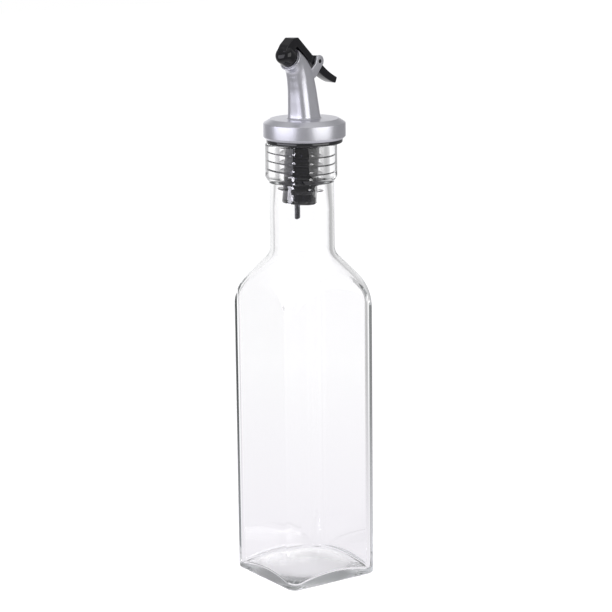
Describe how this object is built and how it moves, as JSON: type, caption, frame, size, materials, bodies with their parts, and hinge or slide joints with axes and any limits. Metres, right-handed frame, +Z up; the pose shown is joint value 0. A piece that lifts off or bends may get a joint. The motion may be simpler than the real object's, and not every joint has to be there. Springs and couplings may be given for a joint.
{
  "type": "square glass oil bottle with a lever pourer",
  "caption": "Empty clear square glass bottle for oil, with a round neck and a silver pourer closed by a black thumb lever",
  "frame": {"origin": "centre of the underside of the bottle", "axes": "+Z up the bottle to the pourer; the four flat sides face along X and Y"},
  "size_m": [0.047, 0.047, 0.2442],
  "materials": {
    "glass": "clear flint glass",
    "stopper_rubber": "smooth black",
    "tube_steel": "drawn tube",
    "silver": "satin silver",
    "lever_black": "glossy black",
    "seal_black": "smooth black"
  },
  "bodies": {
    "bottle": {"glass_bottle": "glass", "stopper": "stopper_rubber", "air_tube": "tube_steel", "pourer": "silver"},
    "lever": {"lever": "lever_black", "seal": "seal_black"}
  },
  "joints": [
    {"name": "lever_pivot", "type": "hinge", "parent": "bottle", "child": "lever", "pos_m": [0.00742, 0.00066, 0.233], "axis": [-0.2487, 0.9686, 0], "range_deg": [0, 46]}
  ]
}
